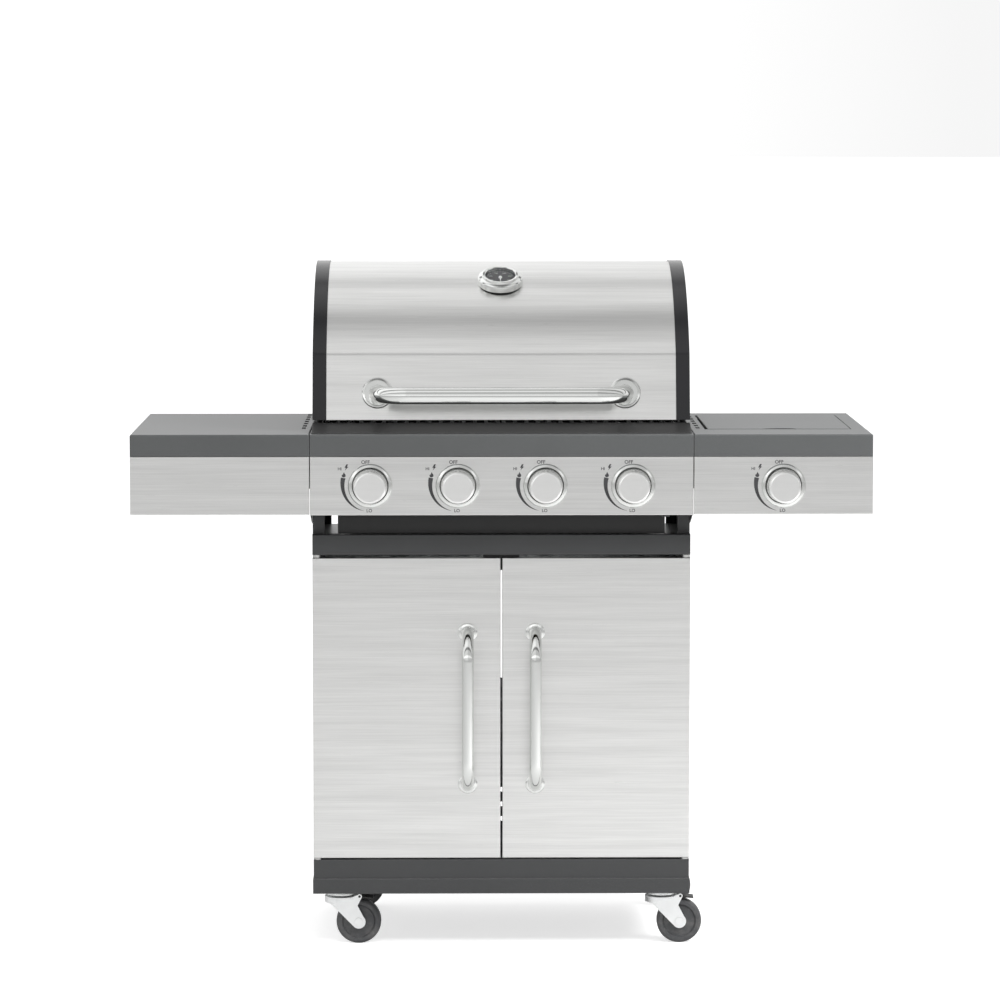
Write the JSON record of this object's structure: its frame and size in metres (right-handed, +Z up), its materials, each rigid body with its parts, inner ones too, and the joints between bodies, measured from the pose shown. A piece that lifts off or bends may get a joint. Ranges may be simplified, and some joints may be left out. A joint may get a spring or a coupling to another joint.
{
  "type": "gas barbecue grill",
  "caption": "Gas barbecue grill on a two-door cart with casters, hinged lid with thermometer, control knobs, side shelf and covered side burner.",
  "frame": {"origin": "on the floor under the middle of the grill's bounding box", "axes": "+X to the right of a cook who faces the grill, +Y from the front to the back, +Z up"},
  "size_m": [1.22, 0.5544, 1.1355],
  "materials": {
    "graphite_paint": "fine satin powder coat",
    "black_paint": "semi-gloss powder coat",
    "cap_enamel": "gloss enamel",
    "brushed_stainless": "horizontal brushed grain",
    "polished_chrome": "polished",
    "knob_metal": "satin chromed casting",
    "zinc": "bright zinc plate",
    "steel_hardware": "zinc plated",
    "firebox_enamel": "heat-resistant enamel",
    "grate_iron": "matt enamelled",
    "burner_steel": "plain stainless",
    "valve_brass": "turned",
    "galvanised": "galvanised sheet",
    "wheel_plastic": "moulded",
    "brake_plastic": "moulded",
    "bumper_rubber": "matt",
    "dial_face": "printed"
  },
  "bodies": {
    "cart": {"assembly_bolts": "steel_hardware", "base_tray": "black_paint", "burners": "burner_steel", "caster_plates": "zinc", "control_band": "graphite_paint", "control_panel": "brushed_stainless", "cooking_grate_left": "grate_iron", "cooking_grate_right": "grate_iron", "door_catch": "black_paint", "firebox": "firebox_enamel", "flame_tamers": "burner_steel", "front_beam": "black_paint", "gas_manifold": "black_paint", "gas_valves": "valve_brass", "heat_shield": "firebox_enamel", "hinge_pins_and_brackets": "steel_hardware", "knob_bezels": "polished_chrome", "left_side_panel": "black_paint", "left_table_front": "brushed_stainless", "left_table_top": "graphite_paint", "lid_bumpers": "bumper_rubber", "rear_panel": "galvanised", "right_side_panel": "black_paint", "right_table_front": "brushed_stainless", "right_table_top": "graphite_paint", "side_burner_bowl": "firebox_enamel", "side_burner_grate": "grate_iron", "warming_rack": "polished_chrome"},
    "lid": {"lid_shell": "brushed_stainless", "lid_left_cap": "cap_enamel", "lid_right_cap": "cap_enamel", "lid_handle": "polished_chrome", "thermometer_case": "polished_chrome", "thermometer_dial": "dial_face"},
    "left_door_leaf": {"left_door": "brushed_stainless", "left_door_handle": "polished_chrome"},
    "right_door_leaf": {"right_door": "brushed_stainless", "right_door_handle": "polished_chrome"},
    "side_burner_cover_leaf": {"side_burner_cover": "graphite_paint"},
    "grease_tray_pan": {"grease_tray": "galvanised"},
    "spindle_1_rod": {"spindle_1": "steel_hardware"},
    "knob_1_cap": {"knob_1": "knob_metal"},
    "spindle_2_rod": {"spindle_2": "steel_hardware"},
    "knob_2_cap": {"knob_2": "knob_metal"},
    "spindle_3_rod": {"spindle_3": "steel_hardware"},
    "knob_3_cap": {"knob_3": "knob_metal"},
    "spindle_4_rod": {"spindle_4": "steel_hardware"},
    "knob_4_cap": {"knob_4": "knob_metal"},
    "spindle_side_rod": {"spindle_side": "steel_hardware"},
    "knob_side_cap": {"knob_side": "knob_metal"},
    "caster_front_left": {"caster_fork_front_left": "zinc"},
    "wheel_front_left": {"caster_wheel_front_left": "wheel_plastic"},
    "brake_front_left": {"caster_brake_front_left": "brake_plastic"},
    "caster_front_right": {"caster_fork_front_right": "zinc"},
    "wheel_front_right": {"caster_wheel_front_right": "wheel_plastic"},
    "brake_front_right": {"caster_brake_front_right": "brake_plastic"},
    "caster_rear_left": {"caster_fork_rear_left": "zinc"},
    "wheel_rear_left": {"caster_wheel_rear_left": "wheel_plastic"},
    "caster_rear_right": {"caster_fork_rear_right": "zinc"},
    "wheel_rear_right": {"caster_wheel_rear_right": "wheel_plastic"}
  },
  "joints": [
    {"name": "lid_hinge", "type": "hinge", "parent": "cart", "child": "lid", "pos_m": [0, 0.22575, 0.907], "axis": [-1, 0, 0], "range_deg": [0, 85]},
    {"name": "left_door_hinge", "type": "hinge", "parent": "cart", "child": "left_door_leaf", "pos_m": [-0.306, -0.18125, 0.4035], "axis": [0, 0, -1], "range_deg": [0, 110]},
    {"name": "right_door_hinge", "type": "hinge", "parent": "cart", "child": "right_door_leaf", "pos_m": [0.306, -0.18125, 0.4035], "axis": [0, 0, 1], "range_deg": [0, 110]},
    {"name": "side_burner_cover_hinge", "type": "hinge", "parent": "cart", "child": "side_burner_cover_leaf", "pos_m": [0.463, 0.16575, 0.858], "axis": [-1, 0, 0], "range_deg": [0, 95]},
    {"name": "grease_tray_slide", "type": "slide", "parent": "cart", "child": "grease_tray_pan", "axis": [0, 1, 0], "range_m": [0, 0.3]},
    {"name": "knob_1_push", "type": "slide", "parent": "cart", "child": "spindle_1_rod", "axis": [0, 1, 0], "range_m": [0, 0.004], "stiffness_N_per_m": 400, "springref_m": -0.004},
    {"name": "knob_1_turn", "type": "hinge", "parent": "spindle_1_rod", "child": "knob_1_cap", "pos_m": [-0.216, -0.23925, 0.7795], "axis": [0, -1, 0], "range_deg": [0, 180]},
    {"name": "knob_2_push", "type": "slide", "parent": "cart", "child": "spindle_2_rod", "axis": [0, 1, 0], "range_m": [0, 0.004], "stiffness_N_per_m": 400, "springref_m": -0.004},
    {"name": "knob_2_turn", "type": "hinge", "parent": "spindle_2_rod", "child": "knob_2_cap", "pos_m": [-0.072, -0.23925, 0.7795], "axis": [0, -1, 0], "range_deg": [0, 180]},
    {"name": "knob_3_push", "type": "slide", "parent": "cart", "child": "spindle_3_rod", "axis": [0, 1, 0], "range_m": [0, 0.004], "stiffness_N_per_m": 400, "springref_m": -0.004},
    {"name": "knob_3_turn", "type": "hinge", "parent": "spindle_3_rod", "child": "knob_3_cap", "pos_m": [0.072, -0.23925, 0.7795], "axis": [0, -1, 0], "range_deg": [0, 180]},
    {"name": "knob_4_push", "type": "slide", "parent": "cart", "child": "spindle_4_rod", "axis": [0, 1, 0], "range_m": [0, 0.004], "stiffness_N_per_m": 400, "springref_m": -0.004},
    {"name": "knob_4_turn", "type": "hinge", "parent": "spindle_4_rod", "child": "knob_4_cap", "pos_m": [0.216, -0.23925, 0.7795], "axis": [0, -1, 0], "range_deg": [0, 180]},
    {"name": "knob_side_push", "type": "slide", "parent": "cart", "child": "spindle_side_rod", "axis": [0, 1, 0], "range_m": [0, 0.004], "stiffness_N_per_m": 400, "springref_m": -0.004},
    {"name": "knob_side_turn", "type": "hinge", "parent": "spindle_side_rod", "child": "knob_side_cap", "pos_m": [0.463, -0.23925, 0.7795], "axis": [0, -1, 0], "range_deg": [0, 180]},
    {"name": "caster_swivel_front_left", "type": "hinge", "parent": "cart", "child": "caster_front_left", "pos_m": [-0.269, -0.13925, 0.08], "axis": [0, 0, 1], "continuous": true},
    {"name": "wheel_spin_front_left", "type": "hinge", "parent": "caster_front_left", "child": "wheel_front_left", "pos_m": [-0.239, -0.13925, 0.0375], "axis": [0, 1, 0], "continuous": true},
    {"name": "caster_brake_front_left", "type": "hinge", "parent": "caster_front_left", "child": "brake_front_left", "pos_m": [-0.2375, -0.13925, 0.0805], "axis": [0, 1, 0], "range_deg": [0, 6]},
    {"name": "caster_swivel_front_right", "type": "hinge", "parent": "cart", "child": "caster_front_right", "pos_m": [0.269, -0.13925, 0.08], "axis": [0, 0, 1], "continuous": true},
    {"name": "wheel_spin_front_right", "type": "hinge", "parent": "caster_front_right", "child": "wheel_front_right", "pos_m": [0.299, -0.13925, 0.0375], "axis": [0, 1, 0], "continuous": true},
    {"name": "caster_brake_front_right", "type": "hinge", "parent": "caster_front_right", "child": "brake_front_right", "pos_m": [0.3005, -0.13925, 0.0805], "axis": [0, 1, 0], "range_deg": [0, 6]},
    {"name": "caster_swivel_rear_left", "type": "hinge", "parent": "cart", "child": "caster_rear_left", "pos_m": [-0.269, 0.18075, 0.08], "axis": [0, 0, 1], "continuous": true},
    {"name": "wheel_spin_rear_left", "type": "hinge", "parent": "caster_rear_left", "child": "wheel_rear_left", "pos_m": [-0.239, 0.18075, 0.0375], "axis": [0, 1, 0], "continuous": true},
    {"name": "caster_swivel_rear_right", "type": "hinge", "parent": "cart", "child": "caster_rear_right", "pos_m": [0.269, 0.18075, 0.08], "axis": [0, 0, 1], "continuous": true},
    {"name": "wheel_spin_rear_right", "type": "hinge", "parent": "caster_rear_right", "child": "wheel_rear_right", "pos_m": [0.299, 0.18075, 0.0375], "axis": [0, 1, 0], "continuous": true}
  ]
}
